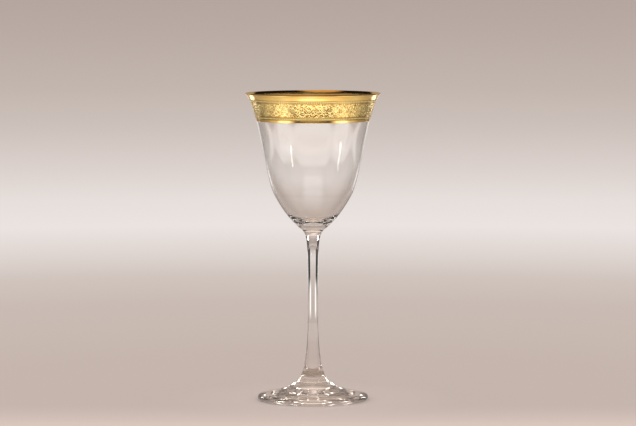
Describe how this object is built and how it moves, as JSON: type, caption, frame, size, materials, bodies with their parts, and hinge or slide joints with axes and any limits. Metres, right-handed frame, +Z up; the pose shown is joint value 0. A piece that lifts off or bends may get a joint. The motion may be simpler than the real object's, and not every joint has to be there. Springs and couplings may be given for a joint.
{
  "type": "white wine glass",
  "caption": "Clear crystal stemmed wine glass with a flared tulip bowl, slim round stem, low bell-shaped foot and a gilded etched band at the rim, to drink white wine from.",
  "frame": {"origin": "on the axis of the glass, in the plane of the table that the foot stands on", "axes": "+Z up along the axis of the glass, from the foot to the lip; X and Y are alike, since the glass is turned about Z"},
  "size_m": [0.0834, 0.0834, 0.1897],
  "materials": {
    "crystal": "clear and fire polished",
    "polished_gold": "burnished fired gold",
    "etched_gold": "fired gold on etched glass, matt ground with burnished relief"
  },
  "bodies": {
    "root": {"bowl": "crystal", "stem": "crystal", "foot": "crystal", "gold_lip": "polished_gold", "gold_plain_band": "polished_gold", "gold_upper_beading": "etched_gold", "gold_frieze": "etched_gold", "gold_lower_beading": "etched_gold", "gold_base_line": "polished_gold"}
  },
  "joints": []
}
